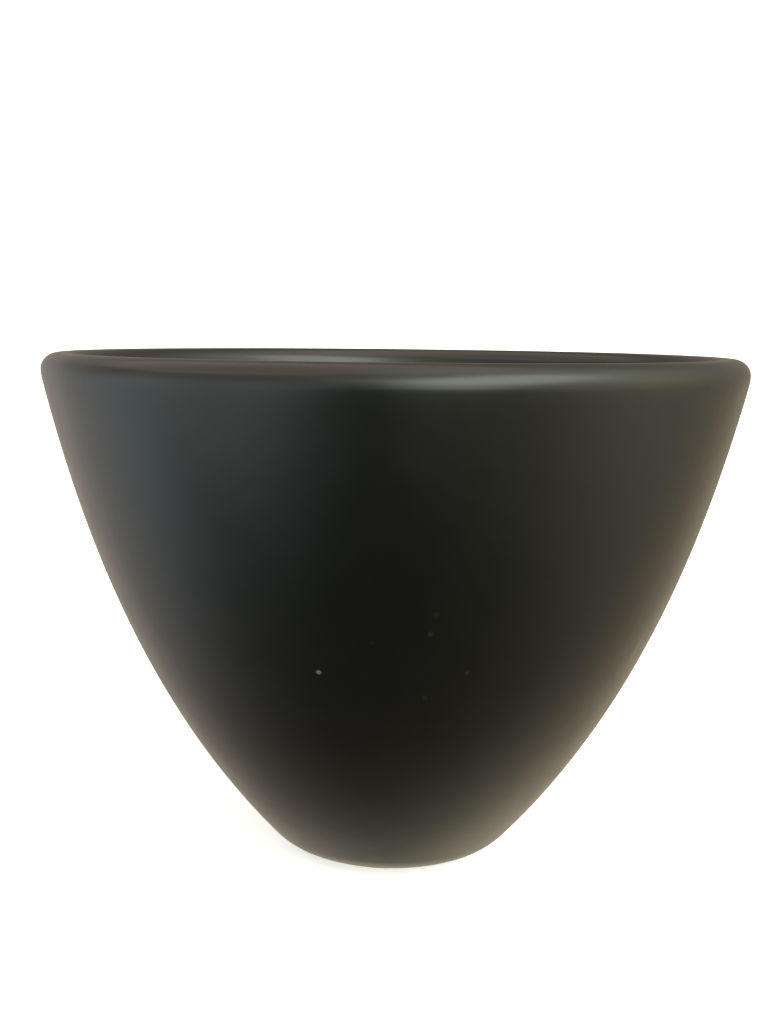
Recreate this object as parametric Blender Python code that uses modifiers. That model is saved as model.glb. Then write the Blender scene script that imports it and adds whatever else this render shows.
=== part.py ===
"""Candle vessel: a tapered stoneware bowl with a round lip, a satin glaze and a bare foot ring.

Metres, +Z up. The origin is the middle of the foot, on the surface that the vessel stands on.
The glaze is a solid of its own, which wraps the fired clay from just above the foot, over the lip
and down to the inside floor. A second, small piece of glaze fills the recess in the foot ring.
"""

import math

import bpy

MM = 0.001

# Outside, on the face of the glaze.
RIM_RADIUS = 57.0 * MM
HEIGHT = 83.5 * MM
LIP_WIDTH = 5.6 * MM
LIP_RISE = 2.6 * MM  # from the widest point of the lip up to its top
LIP_FALL = 4.2 * MM  # the same half axis of the lip's round below its widest point
WALL_LEAN = math.radians(12.8)  # off upright, where the wall meets the lip
WALL_UPPER_PULL = 29.0 * MM  # how far the wall keeps that lean
WALL_LOWER_PULL = 29.0 * MM  # how far the wall keeps the slope that it leaves the heel with
HEEL_RADIUS = 11.0 * MM
HEEL_CENTRE = 12.9 * MM  # from the axis to the centre of the heel's round
HEEL_TURN = math.radians(48.5)  # how far the heel curves up from level

# Thickness, glaze included.
WALL = 5.0 * MM
HEEL_WALL = 8.0 * MM  # where the wall meets the heel
FLOOR_TOP = 7.0 * MM  # height of the inside floor
HEEL_BLEND = 0.45  # share of the wall over which it thins from the heel
LIP_BLEND = 0.30  # share of the wall over which it swells into the lip

# Glaze.
COAT = 0.5 * MM
GAP = 0.3 * MM  # clearance between the glaze and the clay under it

# Foot ring, in bare clay.
FOOT_RADIUS = 15.0 * MM
FOOT_WIDTH = 4.0 * MM
FOOT_ROUND = 0.4 * MM
FOOT_RECESS = 2.0 * MM
BARE_BAND = 1.2 * MM  # clay left bare beside the foot ring, outside it and in its recess

# Facets.
TURN_STEPS = 60
WALL_STEPS = 8
LIP_STEPS = 4  # on each side of the lip's top
HEEL_STEPS = 3
COVE_STEPS = 5
ROUND_STEPS = 3

CLAY_DEPTH = COAT + GAP  # how far the clay lies under the face of the glaze


def clear_scene():
    for item in list(bpy.data.objects):
        bpy.data.objects.remove(item, do_unlink=True)


def steps(start, end, count):
    """count + 1 values, evenly spaced from start to end."""
    return [start + (end - start) * i / count for i in range(count + 1)]


def ease(x):
    """A smooth climb from 0 to 1 as x goes from 0 to 1."""
    x = min(max(x, 0.0), 1.0)
    return x * x * (3.0 - 2.0 * x)


def arc(centre, radius, start, end, count):
    """Points on a circle in the profile's plane. Angles are from the outward radial direction."""
    return [
        (centre[0] + radius * math.cos(angle), centre[1] + radius * math.sin(angle))
        for angle in steps(start, end, count)
    ]


def lip_point(normal, depth):
    """The point under the lip's elliptical round, depth below the face that has this normal."""
    half = LIP_WIDTH / 2
    tall = LIP_RISE if normal >= 0.0 else LIP_FALL
    cos, sin = math.cos(normal), math.sin(normal)
    reach = math.hypot(half * cos, tall * sin)
    radius = RIM_RADIUS - half + half * half * cos / reach - depth * cos
    height = HEIGHT - LIP_RISE + tall * tall * sin / reach - depth * sin
    return radius, height


def wall_handles():
    """The four control points of the outside wall's Bezier curve, from the heel to the lip."""
    heel_normal = HEEL_TURN - math.pi / 2
    start = arc((HEEL_CENTRE, HEEL_RADIUS), HEEL_RADIUS, heel_normal, heel_normal, 1)[0]
    end = lip_point(-WALL_LEAN, 0.0)
    first = (
        start[0] + WALL_LOWER_PULL * math.cos(HEEL_TURN),
        start[1] + WALL_LOWER_PULL * math.sin(HEEL_TURN),
    )
    second = (
        end[0] - WALL_UPPER_PULL * math.sin(WALL_LEAN),
        end[1] - WALL_UPPER_PULL * math.cos(WALL_LEAN),
    )
    return start, first, second, end


def wall_point(along, depth):
    """The point depth under the outside wall, at a share along it from the heel to the lip."""
    a, b, c, d = wall_handles()
    back = 1.0 - along
    point = [
        back**3 * a[i] + 3 * back**2 * along * b[i] + 3 * back * along**2 * c[i] + along**3 * d[i]
        for i in (0, 1)
    ]
    slope = [
        back**2 * (b[i] - a[i]) + 2 * back * along * (c[i] - b[i]) + along**2 * (d[i] - c[i])
        for i in (0, 1)
    ]
    length = math.hypot(*slope)
    return point[0] - depth * slope[1] / length, point[1] + depth * slope[0] / length


def thickness(along):
    """The wall's thickness, glaze to glaze: thicker towards the heel and into the lip."""
    heel = (HEEL_WALL - WALL) * ease(1.0 - along / HEEL_BLEND)
    lip = (LIP_WIDTH - WALL) * ease(1.0 - (1.0 - along) / LIP_BLEND)
    return WALL + heel + lip


def inside_floor(depth):
    """From the axis out along the inside floor and up its cove, depth under the glaze's face."""
    normal = HEEL_TURN - math.pi / 2
    end_radius, end_height = wall_point(0.0, HEEL_WALL)
    cove = (end_height - FLOOR_TOP) / (1.0 + math.sin(normal))
    centre = (end_radius - cove * math.cos(normal), FLOOR_TOP + cove)
    return [(0.0, FLOOR_TOP - depth)] + arc(centre, cove + depth, -math.pi / 2, normal, COVE_STEPS)


def inside_wall(depth):
    """Up the inside wall, between the cove and the lip."""
    shares = steps(0.0, 1.0, WALL_STEPS)[1:-1]
    return [wall_point(share, thickness(share) - depth) for share in shares]


def lip(depth):
    """Over the lip, from the inside wall, by its top and its widest point, to the outside wall."""
    inner = steps(math.pi - WALL_LEAN, math.pi / 2, LIP_STEPS)
    outer = steps(math.pi / 2, 0.0, LIP_STEPS)[1:]
    lower = [-WALL_LEAN / 2, -WALL_LEAN]
    return [lip_point(normal, depth) for normal in inner + outer + lower]


def outside_wall(depth):
    """Down the outside wall, between the lip and the heel."""
    shares = steps(1.0, 0.0, WALL_STEPS)[1:-1]
    return [wall_point(share, depth) for share in shares]


def heel_normal_at(radius, depth):
    """The normal of the heel's round where it comes in to this radius."""
    return -math.acos((radius - HEEL_CENTRE) / (HEEL_RADIUS - depth))


def glaze_edge_normal():
    """The heel's normal where the glaze ends, a bare band above the foot ring."""
    band = BARE_BAND / (HEEL_RADIUS - CLAY_DEPTH)
    return heel_normal_at(FOOT_RADIUS, CLAY_DEPTH) + band


def heel(depth):
    """Round the heel, from the wall in to the edge of the glaze."""
    centre = (HEEL_CENTRE, HEEL_RADIUS)
    radius = HEEL_RADIUS - depth
    return arc(centre, radius, HEEL_TURN - math.pi / 2, glaze_edge_normal(), HEEL_STEPS)


def skin(depth):
    """From the middle of the inside floor, over the lip and down to the glaze's outer edge."""
    return inside_floor(depth) + inside_wall(depth) + lip(depth) + outside_wall(depth) + heel(depth)


def foot_ring():
    """Down the foot ring's side, in across its resting face and up into its recess."""
    inner = FOOT_RADIUS - FOOT_WIDTH
    top = HEEL_RADIUS + (HEEL_RADIUS - CLAY_DEPTH) * math.sin(heel_normal_at(FOOT_RADIUS, CLAY_DEPTH))
    outer_round = arc(
        (FOOT_RADIUS - FOOT_ROUND, FOOT_ROUND), FOOT_ROUND, 0.0, -math.pi / 2, ROUND_STEPS
    )
    inner_round = arc(
        (inner + FOOT_ROUND, FOOT_ROUND), FOOT_ROUND, -math.pi / 2, -math.pi, ROUND_STEPS
    )
    recess_round = arc(
        (inner - FOOT_ROUND, FOOT_RECESS - FOOT_ROUND), FOOT_ROUND, 0.0, math.pi / 2, ROUND_STEPS
    )
    return [(FOOT_RADIUS, top)] + outer_round + inner_round + recess_round + [(0.0, FOOT_RECESS)]


def recess_disc():
    """Half the outline of the recess's glaze, from its top down, with a round edge."""
    radius = FOOT_RADIUS - FOOT_WIDTH - BARE_BAND
    edge = arc((radius - COAT / 2, -COAT / 2), COAT / 2, math.pi / 2, -math.pi / 2, 2 * ROUND_STEPS)
    return [(0.0, 0.0)] + edge + [(0.0, -COAT)]


def material(name, colour, roughness):
    made = bpy.data.materials.new(name)
    made.use_nodes = True
    shader = made.node_tree.nodes["Principled BSDF"]
    shader.inputs["Base Color"].default_value = (*colour, 1.0)
    shader.inputs["Roughness"].default_value = roughness
    shader.inputs["Metallic"].default_value = 0.0
    return made


def turned(name, profile, finish, collection, parent):
    """A closed solid from half its outline, which runs from the axis out and down to the axis."""
    mesh = bpy.data.meshes.new(name)
    points = [(radius, 0.0, height) for radius, height in profile]
    edges = [(i, i + 1) for i in range(len(points) - 1)]
    mesh.from_pydata(points, edges, [])
    mesh.materials.append(finish)
    piece = bpy.data.objects.new(name, mesh)
    piece.parent = parent
    collection.objects.link(piece)
    screw = piece.modifiers.new("turn", "SCREW")
    screw.steps = TURN_STEPS
    screw.render_steps = TURN_STEPS
    screw.use_merge_vertices = True
    screw.merge_threshold = 0.00001
    screw.use_smooth_shade = True
    return piece


def clay_body(collection, parent):
    """The fired stoneware shell: everything under the glaze, with the foot ring left bare."""
    finish = material("fired_stoneware", (0.42, 0.36, 0.29), 0.85)
    return turned("clay_body", skin(CLAY_DEPTH) + foot_ring(), finish, collection, parent)


def glaze_coat(finish, collection, parent):
    """The glaze over the outside, the lip and the inside, as a skin of its own thickness."""
    return turned("glaze_coat", skin(0.0) + skin(COAT)[::-1], finish, collection, parent)


def recess_glaze(finish, collection, parent):
    """The patch of glaze in the foot ring's recess."""
    piece = turned("recess_glaze", recess_disc(), finish, collection, parent)
    piece.location.z = FOOT_RECESS - GAP
    return piece


def main():
    clear_scene()
    collection = bpy.data.collections.new("candle_vessel")
    bpy.context.scene.collection.children.link(collection)
    axis = bpy.data.objects.new("vessel_axis", None)
    collection.objects.link(axis)
    satin_black = material("satin_black_glaze", (0.012, 0.011, 0.009), 0.38)
    clay_body(collection, axis)
    glaze_coat(satin_black, collection, axis)
    recess_glaze(satin_black, collection, axis)


main()
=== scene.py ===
"""Looks for the candle vessel: satin-glazed stoneware on white paper, in soft studio light."""

import math

import bpy
from mathutils import Matrix, Vector


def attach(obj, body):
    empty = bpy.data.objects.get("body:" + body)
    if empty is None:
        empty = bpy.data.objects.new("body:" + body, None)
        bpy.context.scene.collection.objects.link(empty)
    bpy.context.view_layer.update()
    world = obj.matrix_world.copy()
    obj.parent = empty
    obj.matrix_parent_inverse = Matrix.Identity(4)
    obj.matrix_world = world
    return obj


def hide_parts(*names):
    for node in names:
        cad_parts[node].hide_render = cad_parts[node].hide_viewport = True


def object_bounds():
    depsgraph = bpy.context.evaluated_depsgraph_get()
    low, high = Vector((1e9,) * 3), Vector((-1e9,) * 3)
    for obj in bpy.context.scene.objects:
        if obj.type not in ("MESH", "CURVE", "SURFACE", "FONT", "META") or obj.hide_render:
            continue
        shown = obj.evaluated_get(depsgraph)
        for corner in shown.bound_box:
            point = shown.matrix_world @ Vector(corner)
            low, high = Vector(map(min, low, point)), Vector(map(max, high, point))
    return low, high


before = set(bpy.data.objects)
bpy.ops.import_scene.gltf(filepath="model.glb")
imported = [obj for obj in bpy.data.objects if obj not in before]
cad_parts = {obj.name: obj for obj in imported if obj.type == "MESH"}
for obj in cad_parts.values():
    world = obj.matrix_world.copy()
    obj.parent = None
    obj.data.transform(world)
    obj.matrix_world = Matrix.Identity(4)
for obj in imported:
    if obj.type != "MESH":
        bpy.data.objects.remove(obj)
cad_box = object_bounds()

MM = 0.001

# Outside, on the face of the glaze.
RIM_RADIUS = cad_box[1].x
HEIGHT = cad_box[1].z
LIP_WIDTH = 5.6 * MM
LIP_RISE = 2.6 * MM  # from the widest point of the lip up to its top
LIP_FALL = 4.2 * MM  # the same half axis of the lip's round below its widest point
WALL_LEAN = math.radians(12.8)  # off upright, where the wall meets the lip
WALL_UPPER_PULL = 29.0 * MM  # how far the wall keeps that lean
WALL_LOWER_PULL = 29.0 * MM  # how far the wall keeps the slope that it leaves the heel with
HEEL_RADIUS = 11.0 * MM
HEEL_CENTRE = 12.9 * MM  # from the axis to the centre of the heel's round
HEEL_TURN = math.radians(48.5)  # how far the heel curves up from level

# Thickness, glaze included.
WALL = 5.0 * MM
HEEL_WALL = 8.0 * MM  # where the wall meets the heel
FLOOR_TOP = 7.0 * MM  # height of the inside floor
HEEL_BLEND = 0.45  # share of the wall over which it thins from the heel
LIP_BLEND = 0.30  # share of the wall over which it swells into the lip

# The neck: glaze softens the bend between the lip's round and the outside wall.
NECK_NORMAL = math.radians(-5.0)  # where the lip's round gives way to it
NECK_FOOT = 0.925  # share of the wall, from the heel up, where it ends

# Glaze.
COAT = 0.5 * MM
BOND = 0.05 * MM  # hairline between the glaze and the clay under it
CLAY_DEPTH = COAT + BOND

# Foot ring, in bare clay.
FOOT_RADIUS = 15.0 * MM
FOOT_WIDTH = 4.0 * MM
FOOT_ROUND = 0.6 * MM
FOOT_RECESS = 2.0 * MM
BARE_BAND = 1.2 * MM  # clay left bare beside the foot ring, outside it and in its recess
BEAD_TOP = 1.8 * MM  # the glaze's edge bead and the foot ring lie below this height

# How finely the outlines and the turning are cut.
TURN_STEPS = 192
WALL_STEPS = 44
LIP_STEPS = 20  # on each side of the lip's top
HEEL_STEPS = 12
COVE_STEPS = 12
ROUND_STEPS = 6
FLOOR_STEPS = 4
RECESS_STEPS = 6
POOL_STEPS = 8
HIDDEN = 4  # the glaze's back, which nothing shows, is this many times coarser
WELD = 0.001 * MM  # points closer than this are one
SHARP = math.radians(40)  # edges that bend more than this stay crisp


def steps(start, end, count):
    """count + 1 values, evenly spaced from start to end."""
    return [start + (end - start) * i / count for i in range(count + 1)]


def ease(x):
    """A smooth climb from 0 to 1 as x goes from 0 to 1."""
    x = min(max(x, 0.0), 1.0)
    return x * x * (3.0 - 2.0 * x)


def arc(centre, radius, start, end, count):
    """Points on a circle in the profile's plane. Angles are from the outward radial direction."""
    return [
        (centre[0] + radius * math.cos(angle), centre[1] + radius * math.sin(angle))
        for angle in steps(start, end, count)
    ]


def lip_point(normal, depth):
    """The point under the lip's elliptical round, depth below the face that has this normal."""
    half = LIP_WIDTH / 2
    tall = LIP_RISE if normal >= 0.0 else LIP_FALL
    cos, sin = math.cos(normal), math.sin(normal)
    reach = math.hypot(half * cos, tall * sin)
    radius = RIM_RADIUS - half + half * half * cos / reach - depth * cos
    height = HEIGHT - LIP_RISE + tall * tall * sin / reach - depth * sin
    return radius, height


def wall_handles():
    """The four control points of the outside wall's Bezier curve, from the heel to the lip."""
    start = (
        HEEL_CENTRE + HEEL_RADIUS * math.sin(HEEL_TURN),
        HEEL_RADIUS - HEEL_RADIUS * math.cos(HEEL_TURN),
    )
    end = lip_point(-WALL_LEAN, 0.0)
    first = (
        start[0] + WALL_LOWER_PULL * math.cos(HEEL_TURN),
        start[1] + WALL_LOWER_PULL * math.sin(HEEL_TURN),
    )
    second = (
        end[0] - WALL_UPPER_PULL * math.sin(WALL_LEAN),
        end[1] - WALL_UPPER_PULL * math.cos(WALL_LEAN),
    )
    return start, first, second, end


def wall_point(along, depth):
    """The point depth under the outside wall, at a share along it from the heel to the lip."""
    a, b, c, d = wall_handles()
    back = 1.0 - along
    point = [
        back**3 * a[i] + 3 * back**2 * along * b[i] + 3 * back * along**2 * c[i] + along**3 * d[i]
        for i in (0, 1)
    ]
    slope = [
        back**2 * (b[i] - a[i]) + 2 * back * along * (c[i] - b[i]) + along**2 * (d[i] - c[i])
        for i in (0, 1)
    ]
    length = math.hypot(*slope)
    return point[0] - depth * slope[1] / length, point[1] + depth * slope[0] / length


def neck(depth, count):
    """From the lip down to the wall, on the parabola that is tangent to both, depth under it."""
    top, foot = lip_point(NECK_NORMAL, 0.0), wall_point(NECK_FOOT, 0.0)
    across = [a - b for a, b in zip(foot, wall_point(NECK_FOOT, 1.0 * MM))]
    down = (math.sin(NECK_NORMAL), -math.cos(NECK_NORMAL))
    # The corner is where the two tangents cross: the wall's is square to its own normal.
    gap = [a - b for a, b in zip(foot, top)]
    reach = (gap[0] * across[0] + gap[1] * across[1]) / (down[0] * across[0] + down[1] * across[1])
    corner = [a + reach * b for a, b in zip(top, down)]
    outline = []
    for share in steps(0.0, 1.0, count)[1:-1]:
        back = 1.0 - share
        point = [
            back**2 * a + 2 * back * share * b + share**2 * c for a, b, c in zip(top, corner, foot)
        ]
        slope = [back * (b - a) + share * (c - b) for a, b, c in zip(top, corner, foot)]
        length = math.hypot(*slope)
        outline.append(
            (point[0] + depth * slope[1] / length, point[1] - depth * slope[0] / length)
        )
    return outline


def thickness(along):
    """The wall's thickness, glaze to glaze: thicker towards the heel and into the lip."""
    heel = (HEEL_WALL - WALL) * ease(1.0 - along / HEEL_BLEND)
    lip = (LIP_WIDTH - WALL) * ease(1.0 - (1.0 - along) / LIP_BLEND)
    return WALL + heel + lip


def glaze_edge_normal():
    """The heel's normal where the glaze ends, a bare band above the foot ring."""
    reach = HEEL_RADIUS - CLAY_DEPTH
    return BARE_BAND / reach - math.acos((FOOT_RADIUS - HEEL_CENTRE) / reach)


def skin(depth, coarser=1):
    """From the middle of the inside floor, over the lip and down to the glaze's outer edge."""
    normal = HEEL_TURN - math.pi / 2
    end_radius, end_height = wall_point(0.0, HEEL_WALL)
    cove = (end_height - FLOOR_TOP) / (1.0 + math.sin(normal))
    centre = (end_radius - cove * math.cos(normal), FLOOR_TOP + cove)
    shares = steps(0.0, 1.0, WALL_STEPS // coarser)[1:-1]
    inner = steps(math.pi - WALL_LEAN, math.pi / 2, LIP_STEPS // coarser)
    outer = steps(math.pi / 2, 0.0, LIP_STEPS // coarser)[1:]
    lower = steps(0.0, NECK_NORMAL, LIP_STEPS // coarser)[1:]
    outside = [NECK_FOOT] + [share for share in shares[::-1] if share < NECK_FOOT]
    heel = ((HEEL_CENTRE, HEEL_RADIUS), HEEL_RADIUS - depth, normal, glaze_edge_normal())
    return (
        [(radius, FLOOR_TOP - depth) for radius in steps(0.0, centre[0], FLOOR_STEPS)[:-1]]
        + arc(centre, cove + depth, -math.pi / 2, normal, COVE_STEPS // coarser)
        + [wall_point(share, thickness(share) - depth) for share in shares]
        + [lip_point(normal, depth) for normal in inner + outer + lower]
        + neck(depth, LIP_STEPS // coarser)
        + [wall_point(share, depth) for share in outside]
        + arc(*heel, HEEL_STEPS // coarser)
    )


def glaze_bead():
    """The rounded edge where the glaze stops above the foot ring, from its face to its back."""
    normal = glaze_edge_normal()
    reach = HEEL_RADIUS - COAT / 2
    centre = (HEEL_CENTRE + reach * math.cos(normal), HEEL_RADIUS + reach * math.sin(normal))
    return arc(centre, COAT / 2, normal, normal - math.pi, 2 * ROUND_STEPS)[1:-1]


def foot_ring():
    """Down the foot ring's side, in across its resting face and up into its recess."""
    inner = FOOT_RADIUS - FOOT_WIDTH
    reach = HEEL_RADIUS - CLAY_DEPTH
    side = reach * math.sin(math.acos((FOOT_RADIUS - HEEL_CENTRE) / reach))
    rounds = (
        (FOOT_RADIUS - FOOT_ROUND, FOOT_ROUND, 0.0, -math.pi / 2),
        (inner + FOOT_ROUND, FOOT_ROUND, -math.pi / 2, -math.pi),
        (inner - FOOT_ROUND, FOOT_RECESS - FOOT_ROUND, 0.0, math.pi / 2),
    )
    outline = [(FOOT_RADIUS, HEEL_RADIUS - side)]
    for radius, height, start, end in rounds:
        outline += arc((radius, height), FOOT_ROUND, start, end, ROUND_STEPS)
    inward = steps(inner - FOOT_ROUND, 0.0, RECESS_STEPS)[1:]
    return outline + [(radius, FOOT_RECESS) for radius in inward]


def recess_pool():
    """Half the outline of the glaze pooled in the recess, from its bonded face down, round-edged."""
    radius = FOOT_RADIUS - FOOT_WIDTH - BARE_BAND
    top = FOOT_RECESS - BOND
    middle = (radius - COAT / 2, top - COAT / 2)
    edge = arc(middle, COAT / 2, math.pi / 2, -math.pi / 2, 2 * ROUND_STEPS)
    inward = steps(radius - COAT / 2, 0.0, POOL_STEPS)
    bonded = [(radius, top) for radius in inward[::-1][:-1]]
    face = [(radius, top - COAT) for radius in inward[1:]]
    return bonded + edge + face


def turned(name, outline):
    """Spins half an outline, which starts and ends on the vessel's axis, into a closed shape."""
    bpy.ops.object.select_all(action="DESELECT")
    start = (outline[0][0], 0.0, outline[0][1])
    bpy.ops.mesh.primitive_plane_add(size=MM, location=start)
    piece = bpy.context.object
    piece.name = name
    piece.data.name = name
    bpy.ops.object.mode_set(mode="EDIT")
    bpy.ops.mesh.merge(type="CENTER")
    for last, point in zip(outline, outline[1:]):
        move = (point[0] - last[0], 0.0, point[1] - last[1])
        bpy.ops.mesh.extrude_region_move(TRANSFORM_OT_translate={"value": move})
    bpy.ops.mesh.select_all(action="SELECT")
    bpy.ops.mesh.spin(steps=TURN_STEPS, angle=math.tau, center=(0, 0, 0), axis=(0, 0, 1))
    bpy.ops.mesh.select_all(action="SELECT")
    bpy.ops.mesh.remove_doubles(threshold=WELD)
    bpy.ops.mesh.normals_make_consistent(inside=False)
    bpy.ops.object.mode_set(mode="OBJECT")
    bpy.ops.object.transform_apply(location=True, rotation=True, scale=True)
    bpy.ops.object.shade_smooth_by_angle(angle=SHARP)
    return piece


def uneven(piece, depth, grain, below=math.inf):
    """Lets the surface below a height wander inwards, by up to depth, in waves of this grain."""
    waves = bpy.data.textures.new(piece.name + "_waves", "CLOUDS")
    waves.noise_scale = grain
    band = piece.vertex_groups.new(name="band")
    band.add([v.index for v in piece.data.vertices if v.co.z <= below], 1.0, "REPLACE")
    wander = piece.modifiers.new("wander", "DISPLACE")
    wander.texture = waves
    wander.texture_coords = "LOCAL"
    wander.vertex_group = band.name
    wander.strength = depth
    wander.mid_level = 1.0
    bpy.context.view_layer.objects.active = piece
    bpy.ops.object.modifier_apply(modifier=wander.name)
    piece.vertex_groups.clear()


def linear(code):
    """An sRGB hex colour as the linear colour that a shader takes."""
    parts = [int(code[i : i + 2], 16) / 255 for i in (0, 2, 4)]
    return [c / 12.92 if c <= 0.04045 else ((c + 0.055) / 1.055) ** 2.4 for c in parts] + [1.0]


def add(tree, kind, inputs, **settings):
    """Adds a node. Each input takes a value, or another node's output to be linked."""
    node = tree.nodes.new(kind)
    for name, value in settings.items():
        setattr(node, name, value)
    for name, value in inputs.items():
        if isinstance(value, bpy.types.NodeSocket):
            tree.links.new(value, node.inputs[name])
        else:
            node.inputs[name].default_value = value
    return node


def start_material(name):
    """An empty material, its node tree, its shader and the object coordinates to draw on."""
    material = bpy.data.materials.new(name)
    material.use_nodes = True
    tree = material.node_tree
    shader = tree.nodes["Principled BSDF"]
    place = add(tree, "ShaderNodeTexCoord", {}).outputs["Object"]
    return material, tree, shader, place


def on_wall(azimuth, height):
    """The point of the outside wall at a bearing, in degrees right of the front, and a height."""
    low, high = 0.0, 1.0
    while high - low > WALL_SEARCH:
        middle = (low + high) / 2
        low, high = (middle, high) if wall_point(middle, 0.0)[1] < height else (low, middle)
    radius = wall_point(low, 0.0)[0]
    turn = math.radians(azimuth)
    return (radius * math.sin(turn), -radius * math.cos(turn), height)


# The Mix node's sockets for colours.
SHARE, FIRST, SECOND, RESULT = 0, 6, 7, 2

# Real sizes of what the materials show.
GLAZE_CLOUD = 22 * MM
SHEEN_PATCH = 7 * MM
GLAZE_RIPPLE = 3 * MM
GLAZE_RIPPLE_DEPTH = 0.02 * MM
PINHOLE_CELL = 3 * MM
CLAY_MOTTLE = 6 * MM
IRON_SPACING = 1.5 * MM
SAND_GRAIN = 0.4 * MM
SAND_DEPTH = 0.06 * MM
PAPER_FIBRE = 2 * MM  # far coarser than real fibres, so that it shows

PINHOLE_PICK = 0.72  # leaves a pinhole in about one cell in five
PINHOLE_STRENGTH = 0.015
SILICATE_IOR = 1.5  # glaze and fired clay alike
PAPER_GLOW = 0.6  # what a lit backdrop adds to its own white
WALL_SEARCH = 0.0001  # share of the wall within which a height on it is found

# Pale specks in the glaze: degrees right of the front, height, radius, strength.
SPECKS = (
    (-12.9, 41.0 * MM, 0.42 * MM, 0.32),
    (6.3, 47.4 * MM, 0.50 * MM, 0.028),
    (6.2, 37.4 * MM, 0.40 * MM, 0.025),
    (-3.3, 46.0 * MM, 0.35 * MM, 0.015),
    (6.9, 50.3 * MM, 0.40 * MM, 0.022),
    (13.4, 41.2 * MM, 0.38 * MM, 0.028),
)

# A dry rub mark down the wall, near the right-hand edge.
RUB_BEARING = 58.5
RUB_MIDDLE = 39.8 * MM
RUB_HALF_WIDTH = 1.6 * MM
RUB_HALF_HEIGHT = 5.5 * MM
RUB_HALF_DEPTH = 4.5 * MM  # less than the wall, so that the inside stays clean
RUB_STRENGTH = 0.16


def speck_mask(tree, place):
    """Where the specks are, each fading out at its own radius."""
    mask = 0.0
    for azimuth, height, radius, strength in SPECKS:
        away = add(
            tree, "ShaderNodeVectorMath", {0: place, 1: on_wall(azimuth, height)},
            operation="DISTANCE",
        ).outputs["Value"]
        spot = add(
            tree, "ShaderNodeMapRange",
            {"Value": away, "From Min": 0.6 * radius, "From Max": 1.1 * radius,
             "To Min": strength, "To Max": 0.0},
            interpolation_type="SMOOTHSTEP",
        ).outputs["Result"]
        mask = add(tree, "ShaderNodeMath", {0: mask, 1: spot}, operation="MAXIMUM").outputs[0]
    return mask


def pinhole_mask(tree, place):
    """Faint pinholes scattered over the whole coat."""
    cells = add(tree, "ShaderNodeTexVoronoi", {"Vector": place, "Scale": 1 / PINHOLE_CELL})
    near = add(
        tree, "ShaderNodeMapRange",
        {"Value": cells.outputs["Distance"], "From Min": 0.04, "From Max": 0.10,
         "To Min": PINHOLE_STRENGTH, "To Max": 0.0},
        interpolation_type="SMOOTHSTEP",
    ).outputs["Result"]
    chosen = add(
        tree, "ShaderNodeMath", {0: cells.outputs["Color"], 1: PINHOLE_PICK},
        operation="GREATER_THAN",
    ).outputs[0]
    return add(tree, "ShaderNodeMath", {0: near, 1: chosen}, operation="MULTIPLY").outputs[0]


def rub_mask(tree, place):
    """A soft upright patch of fine streaks, where something dry has rubbed the wall."""
    patch = add(
        tree, "ShaderNodeMapping",
        {"Vector": place, "Location": on_wall(RUB_BEARING, RUB_MIDDLE),
         "Rotation": (0.0, 0.0, math.radians(RUB_BEARING)),
         "Scale": (RUB_HALF_WIDTH, RUB_HALF_DEPTH, RUB_HALF_HEIGHT)},
        vector_type="TEXTURE",
    ).outputs["Vector"]
    away = add(tree, "ShaderNodeVectorMath", {0: patch}, operation="LENGTH").outputs["Value"]
    inside = add(
        tree, "ShaderNodeMapRange",
        {"Value": away, "From Min": 0.2, "From Max": 1.0, "To Min": 1.0, "To Max": 0.0},
        interpolation_type="SMOOTHSTEP",
    ).outputs["Result"]
    streaks = add(
        tree, "ShaderNodeTexNoise", {"Vector": patch, "Scale": 1.6, "Detail": 2.0}
    ).outputs["Fac"]
    return add(tree, "ShaderNodeMath", {0: inside, 1: streaks}, operation="MULTIPLY").outputs[0]


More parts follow.
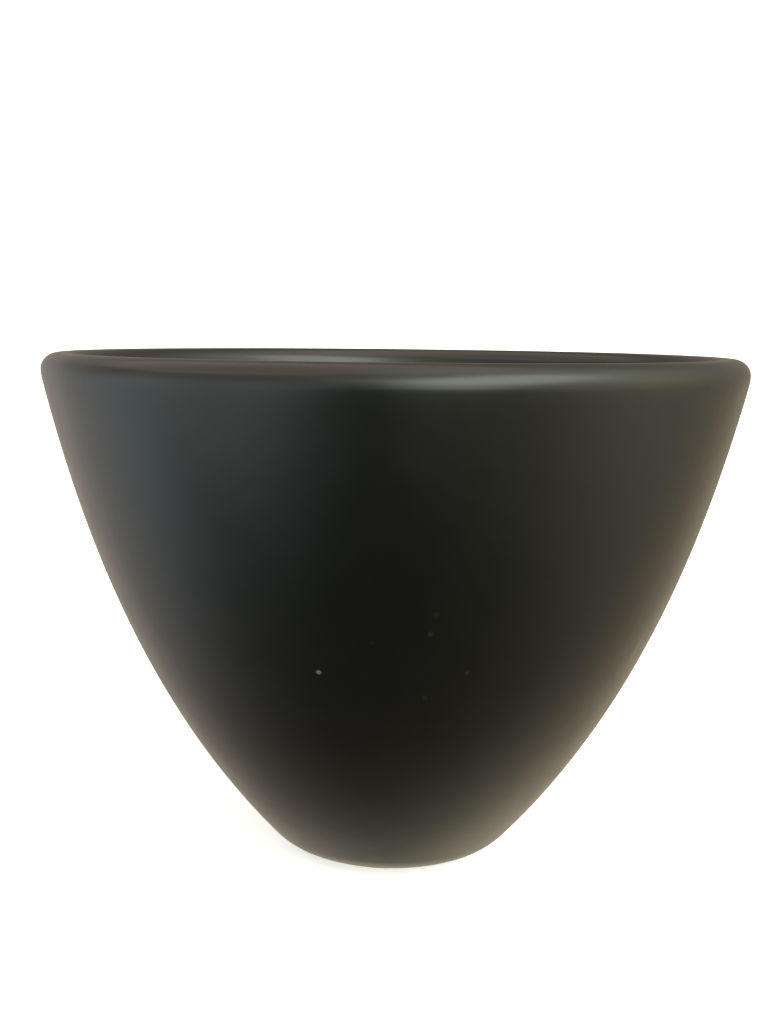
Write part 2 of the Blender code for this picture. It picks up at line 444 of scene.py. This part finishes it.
def satin_glaze():
    """Satin-matt black stoneware glaze, dipped and fired: a soft, faintly clouded sheen."""
    material, tree, shader, place = start_material("satin_matt_black_glaze")
    shader.inputs["IOR"].default_value = SILICATE_IOR
    # Warm black, a touch paler where the glaze lies thicker.
    clouds = add(
        tree, "ShaderNodeTexNoise", {"Vector": place, "Scale": 1 / GLAZE_CLOUD, "Detail": 3.0}
    ).outputs["Fac"]
    coat = add(
        tree, "ShaderNodeMix",
        {SHARE: clouds, FIRST: linear("060605"), SECOND: linear("090908")},
        data_type="RGBA",
    ).outputs[RESULT]
    # It thins to brown just above the bare foot.
    height = add(tree, "ShaderNodeSeparateXYZ", {"Vector": place}).outputs["Z"]
    thin = add(
        tree, "ShaderNodeMapRange",
        {"Value": height, "From Min": 0.7 * MM, "From Max": 1.6 * MM, "To Min": 0.8, "To Max": 0.0},
        interpolation_type="SMOOTHSTEP",
    ).outputs["Result"]
    coat = add(
        tree, "ShaderNodeMix", {SHARE: thin, FIRST: coat, SECOND: linear("2B1D12")},
        data_type="RGBA",
    ).outputs[RESULT]
    # Specks and pinholes show the pale grit under the coat.
    pits = add(
        tree, "ShaderNodeMath",
        {0: speck_mask(tree, place), 1: pinhole_mask(tree, place)}, operation="MAXIMUM",
    ).outputs[0]
    coat = add(
        tree, "ShaderNodeMix", {SHARE: pits, FIRST: coat, SECOND: linear("8F918B")},
        data_type="RGBA",
    ).outputs[RESULT]
    # The rub leaves a warm film.
    rub = add(
        tree, "ShaderNodeMath", {0: rub_mask(tree, place), 1: RUB_STRENGTH}, operation="MULTIPLY"
    ).outputs[0]
    coat = add(
        tree, "ShaderNodeMix", {SHARE: rub, FIRST: coat, SECOND: linear("B5A283")},
        data_type="RGBA",
    ).outputs[RESULT]
    tree.links.new(coat, shader.inputs["Base Color"])
    # The sheen is a little softer in some patches than in others.
    patches = add(
        tree, "ShaderNodeTexNoise", {"Vector": place, "Scale": 1 / SHEEN_PATCH, "Detail": 4.0}
    ).outputs["Fac"]
    sheen = add(
        tree, "ShaderNodeMapRange",
        {"Value": patches, "From Min": 0.3, "From Max": 0.7, "To Min": 0.28, "To Max": 0.32},
    ).outputs["Result"]
    tree.links.new(sheen, shader.inputs["Roughness"])
    # The fired skin is very slightly rippled.
    skin_grain = add(
        tree, "ShaderNodeTexNoise", {"Vector": place, "Scale": 1 / GLAZE_RIPPLE, "Detail": 3.0}
    ).outputs["Fac"]
    ripple = add(
        tree, "ShaderNodeBump",
        {"Height": skin_grain, "Distance": GLAZE_RIPPLE_DEPTH, "Strength": 1.0},
    ).outputs["Normal"]
    tree.links.new(ripple, shader.inputs["Normal"])
    return material


def bare_stoneware():
    """Unglazed stoneware, fired and sponged: a dry, sandy buff with iron specks."""
    material, tree, shader, place = start_material("bare_fired_stoneware")
    shader.inputs["IOR"].default_value = SILICATE_IOR
    shader.inputs["Roughness"].default_value = 0.9
    mottle = add(
        tree, "ShaderNodeTexNoise", {"Vector": place, "Scale": 1 / CLAY_MOTTLE, "Detail": 4.0}
    ).outputs["Fac"]
    body = add(
        tree, "ShaderNodeMix",
        {SHARE: mottle, FIRST: linear("A8967B"), SECOND: linear("C4B499")},
        data_type="RGBA",
    ).outputs[RESULT]
    # Iron in the clay burns out as dark brown specks.
    cells = add(tree, "ShaderNodeTexVoronoi", {"Vector": place, "Scale": 1 / IRON_SPACING})
    iron = add(
        tree, "ShaderNodeMapRange",
        {"Value": cells.outputs["Distance"], "From Min": 0.10, "From Max": 0.22,
         "To Min": 0.75, "To Max": 0.0},
        interpolation_type="SMOOTHSTEP",
    ).outputs["Result"]
    body = add(
        tree, "ShaderNodeMix", {SHARE: iron, FIRST: body, SECOND: linear("5A4330")},
        data_type="RGBA",
    ).outputs[RESULT]
    # The clay toasts to a deeper tan beside the glaze.
    height = add(tree, "ShaderNodeSeparateXYZ", {"Vector": place}).outputs["Z"]
    toast = add(
        tree, "ShaderNodeMapRange",
        {"Value": height, "From Min": 0.3 * MM, "From Max": 1.3 * MM, "To Min": 0.0, "To Max": 0.6},
        interpolation_type="SMOOTHSTEP",
    ).outputs["Result"]
    body = add(
        tree, "ShaderNodeMix", {SHARE: toast, FIRST: body, SECOND: linear("8C6440")},
        data_type="RGBA",
    ).outputs[RESULT]
    tree.links.new(body, shader.inputs["Base Color"])
    # Sand in the clay stands out of the sponged face.
    grit = add(
        tree, "ShaderNodeTexNoise", {"Vector": place, "Scale": 1 / SAND_GRAIN, "Detail": 3.0}
    ).outputs["Fac"]
    sand = add(
        tree, "ShaderNodeBump", {"Height": grit, "Distance": SAND_DEPTH, "Strength": 1.0}
    ).outputs["Normal"]
    tree.links.new(sand, shader.inputs["Normal"])
    return material


def white_paper():
    """Seamless background paper: matt white, with soft fibres, lit so that it stays plain."""
    material, tree, shader, place = start_material("white_background_paper")
    shader.inputs["Roughness"].default_value = 0.95
    shader.inputs["Emission Color"].default_value = linear("FFFFFF")
    shader.inputs["Emission Strength"].default_value = PAPER_GLOW
    fibres = add(
        tree, "ShaderNodeTexNoise", {"Vector": place, "Scale": 1 / PAPER_FIBRE, "Detail": 3.0}
    ).outputs["Fac"]
    paper = add(
        tree, "ShaderNodeMix",
        {SHARE: fibres, FIRST: linear("EFEFED"), SECOND: linear("F6F6F4")},
        data_type="RGBA",
    ).outputs[RESULT]
    tree.links.new(paper, shader.inputs["Base Color"])
    return material


def finish(piece, node, material):
    """Puts a piece in the place of its node, with its material."""
    piece.data.materials.append(material)
    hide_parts(node)
    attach(piece, "root")


def make_vessel():
    """The glaze coat, the glaze pool under the foot and the clay body between them."""
    black = satin_glaze()
    glaze = turned("satin_glaze", skin(0.0) + glaze_bead() + skin(COAT, HIDDEN)[::-1])
    uneven(glaze, depth=0.05 * MM, grain=26 * MM)
    uneven(glaze, depth=0.12 * MM, grain=5 * MM, below=BEAD_TOP)
    finish(glaze, "glaze_coat", black)
    pool = turned("recess_glaze_pool", recess_pool())
    uneven(pool, depth=0.15 * MM, grain=4 * MM)
    finish(pool, "recess_glaze", black)
    clay = turned("stoneware_body", skin(CLAY_DEPTH) + foot_ring())
    uneven(clay, depth=0.10 * MM, grain=3 * MM, below=BEAD_TOP)
    finish(clay, "clay_body", bare_stoneware())


# Studio. Bearings are degrees right of the front, elevations degrees above level.
AIM = Vector((0.0, 0.0, HEIGHT / 2))
LIGHT_DISTANCE = 1.2

# Bearing, elevation, half width, half height, roll and brightness of each softbox. Brightness is
# the red, green and blue that its face gives off, where 1 is plain white.
SOFTBOXES = {
    "key": (30, 20, 20, 40, -40, (2.8, 3.05, 2.6)),
    "left_fill": (-50, 10, 40, 40, 0, (0.65, 0.65, 0.6)),
    "top_fill": (-90, 70, 40, 40, 0, (0.95, 0.85, 0.65)),
}

# Bearing, elevation, spread and brightness of each glow of the room round the vessel.
GLOWS = (
    (15, 15, 20, (2.7, 2.85, 2.15)),
    (60, 45, 45, (2.35, 2.4, 1.95)),
    (75, 0, 30, (1.15, 1.1, 0.75)),
    (165, -30, 45, (0.8, 0.65, 0.45)),
    (150, -60, 20, (0.6, 0.6, 0.45)),
    (-165, -60, 15, (0.55, 0.55, 0.45)),
    (-120, 0, 45, (0.8, 0.75, 0.7)),
    (-90, -15, 20, (0.65, 0.9, 1.0)),
    (-45, -15, 20, (0.6, 0.9, 0.9)),
)

# Paper tent.
TENT_WIDTH = 4.0
TENT_FORWARD = 0.4  # from the vessel's axis to the middle of the floor, towards the front
TENT_HEIGHT = 2.5
TENT_BEND = 0.8
TENT_BEND_STEPS = 24

# Camera. Without its three small turns it would stand level and square to the vessel.
CAMERA_DISTANCE = 208.4 * MM
CAMERA_HEIGHT = 87.5 * MM
CAMERA_LENS = 43.72  # in mm, as the camera takes it
CAMERA_YAW = math.radians(0.432)
CAMERA_PITCH = math.radians(8.358)
CAMERA_ROLL = math.radians(0.614)
CAMERA_NEAR = 10.0 * MM


def toward(bearing, elevation):
    """The direction of a bearing and an elevation, seen from the vessel."""
    turn, rise = math.radians(bearing), math.radians(elevation)
    return Vector(
        (math.cos(rise) * math.sin(turn), -math.cos(rise) * math.cos(turn), math.sin(rise))
    )


def softbox(name, bearing, elevation, half_width, half_height, roll, brightness):
    """An oval soft light, its size and roll in degrees as the vessel sees it."""
    lamp = bpy.data.lights.new(name, "AREA")
    lamp.shape = "ELLIPSE"
    lamp.size = 2 * LIGHT_DISTANCE * math.tan(math.radians(half_width))
    lamp.size_y = 2 * LIGHT_DISTANCE * math.tan(math.radians(half_height))
    lamp.color = [c / max(brightness) for c in brightness]
    face = math.pi / 4 * lamp.size * lamp.size_y
    lamp.energy = max(brightness) * math.pi * face
    light = bpy.data.objects.new(name, lamp)
    bpy.context.scene.collection.objects.link(light)
    out = toward(bearing, elevation)
    light.matrix_world = (
        Matrix.Translation(AIM + LIGHT_DISTANCE * out)
        @ out.to_track_quat("Z", "Y").to_matrix().to_4x4()
        @ Matrix.Rotation(math.radians(roll), 4, "Z")
    )
    light.visible_camera = False


def room():
    """Soft glows all round, which the glaze mirrors, fading to dark low in front."""
    world = bpy.data.worlds.new("room")
    bpy.context.scene.world = world
    world.use_nodes = True
    tree = world.node_tree
    way = add(tree, "ShaderNodeTexCoord", {}).outputs["Generated"]
    total = None
    for bearing, elevation, spread, brightness in GLOWS:
        sharp = 1 / (1 - math.cos(math.radians(spread)))
        facing = add(
            tree, "ShaderNodeVectorMath", {0: way, 1: toward(bearing, elevation)},
            operation="DOT_PRODUCT",
        )
        power = add(
            tree, "ShaderNodeMath", {0: facing.outputs["Value"], 1: sharp, 2: -sharp},
            operation="MULTIPLY_ADD",
        )
        lobe = add(tree, "ShaderNodeMath", {0: power.outputs[0]}, operation="EXPONENT")
        glow = add(
            tree, "ShaderNodeVectorMath", {0: brightness, "Scale": lobe.outputs[0]},
            operation="SCALE",
        )
        if total:
            glow = add(
                tree, "ShaderNodeVectorMath", {0: total, 1: glow.outputs[0]}, operation="ADD"
            )
        total = glow.outputs[0]
    tree.links.new(total, tree.nodes["Background"].inputs["Color"])


def sweep():
    """A tent of seamless white paper: floor, walls and ceiling, curved where they meet."""
    bpy.ops.object.select_all(action="DESELECT")
    bpy.ops.mesh.primitive_plane_add(size=TENT_WIDTH, location=(0.0, -TENT_FORWARD, 0.0))
    paper = bpy.context.object
    paper.name = "paper_sweep"
    bpy.ops.object.mode_set(mode="EDIT")
    up = {"value": (0.0, 0.0, TENT_HEIGHT)}
    bpy.ops.mesh.extrude_region_move(TRANSFORM_OT_translate=up)
    bpy.ops.object.mode_set(mode="OBJECT")
    bend = paper.modifiers.new("bend", "BEVEL")
    bend.width = TENT_BEND
    bend.segments = TENT_BEND_STEPS
    bpy.ops.object.modifier_apply(modifier=bend.name)
    bpy.ops.object.transform_apply(location=True, rotation=True, scale=True)
    bpy.ops.object.shade_smooth()
    paper.data.materials.append(white_paper())
    # Only the camera sees it: the lamps and the room light the vessel as if it weren't there.
    paper.visible_glossy = False
    paper.visible_diffuse = False
    paper.visible_shadow = False


def place_camera():
    """At the height of the lip and close, looking slightly down."""
    lens = bpy.data.cameras.new("camera")
    lens.lens = CAMERA_LENS
    lens.clip_start = CAMERA_NEAR
    camera = bpy.data.objects.new("camera", lens)
    bpy.context.scene.collection.objects.link(camera)
    camera.matrix_world = (
        Matrix.Translation((0.0, -CAMERA_DISTANCE, CAMERA_HEIGHT))
        @ Matrix.Rotation(CAMERA_YAW, 4, "Z")
        @ Matrix.Rotation(math.pi / 2 - CAMERA_PITCH, 4, "X")
        @ Matrix.Rotation(CAMERA_ROLL, 4, "Z")
    )
    bpy.context.scene.camera = camera


make_vessel()
sweep()
room()
for name, lamp in SOFTBOXES.items():
    softbox(name, *lamp)
place_camera()
bpy.context.scene.view_settings.view_transform = "Standard"
